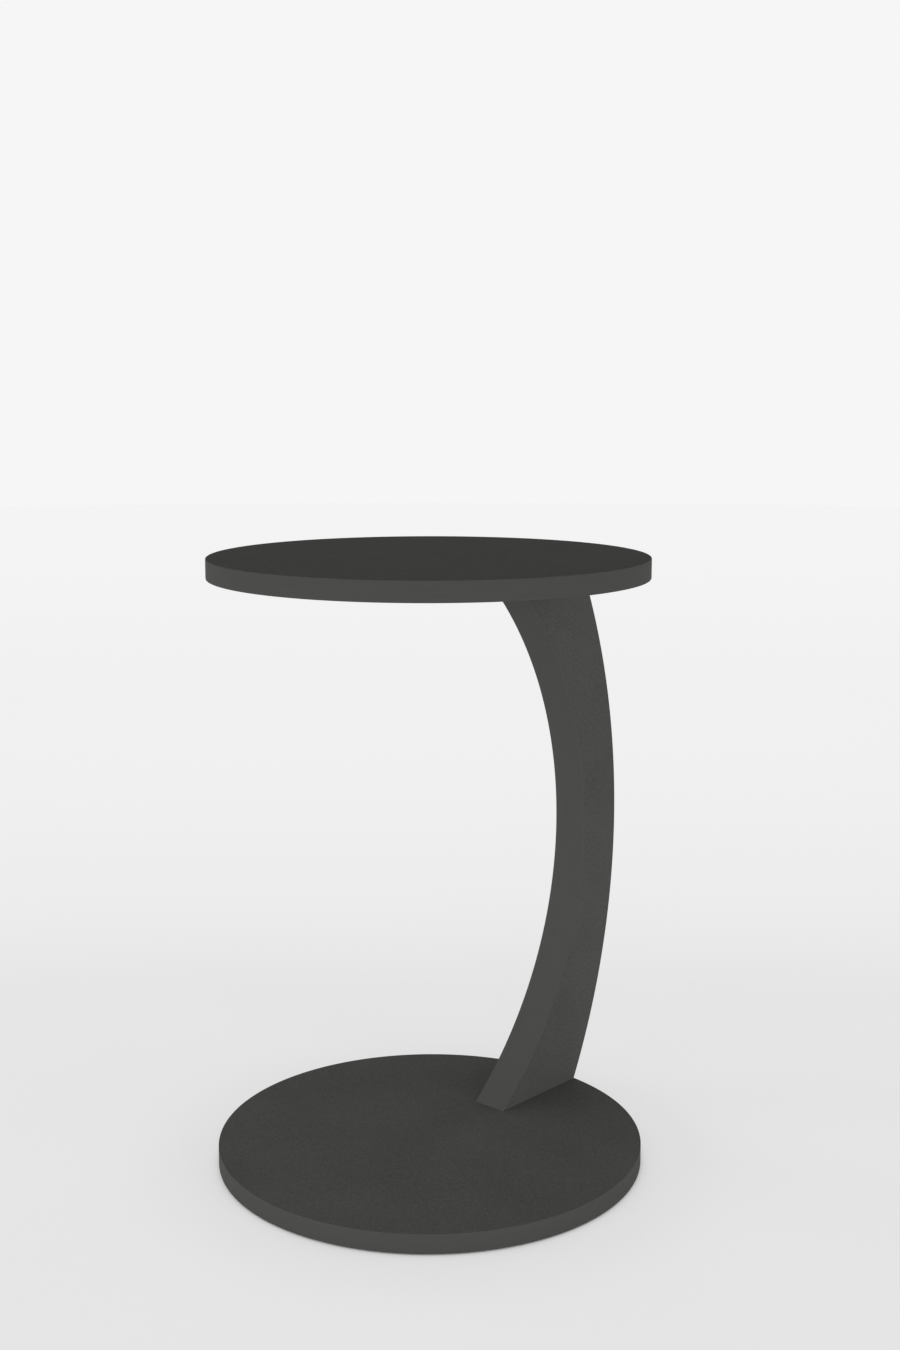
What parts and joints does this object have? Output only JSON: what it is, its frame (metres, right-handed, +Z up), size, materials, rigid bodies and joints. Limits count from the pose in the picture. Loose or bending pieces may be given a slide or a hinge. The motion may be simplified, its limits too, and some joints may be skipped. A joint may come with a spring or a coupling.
{
  "type": "side table",
  "caption": "C shaped side table: a round top over an equal round foot, joined at one side by a bowed crescent upright, so that the foot slides under a sofa or bed.",
  "frame": {"origin": "centre of the foot on the floor, at the underside of the felt pads", "axes": "+Z up; +X from the centre of the foot to the upright, so the C opens towards -X; the cams are on the +Y side of the upright"},
  "size_m": [0.461, 0.4, 0.572],
  "materials": {
    "anthracite_board": "matt, finely textured melamine face on chipboard",
    "anthracite_edging": "matt plastic edge band",
    "anthracite_cap": "satin moulded plastic",
    "cast_zinc": "die cast zinc, dull",
    "zinc_plated_steel": "bright zinc plate",
    "nylon": "natural moulded nylon",
    "beech": "bare turned beech",
    "felt": "pressed felt, dark grey"
  },
  "bodies": {
    "root": {"top_panel": "anthracite_board", "top_edge_band": "anthracite_edging", "base_panel": "anthracite_board", "base_edge_band": "anthracite_edging", "leg_near_board": "anthracite_board", "leg_far_board": "anthracite_board", "leg_inner_edge_band": "anthracite_edging", "leg_outer_edge_band": "anthracite_edging", "cam_locks": "cast_zinc", "cam_bolts": "zinc_plated_steel", "bolt_inserts": "nylon", "cam_caps": "anthracite_cap", "wood_dowels": "beech", "base_screws": "zinc_plated_steel", "floor_pads": "felt"}
  },
  "joints": []
}
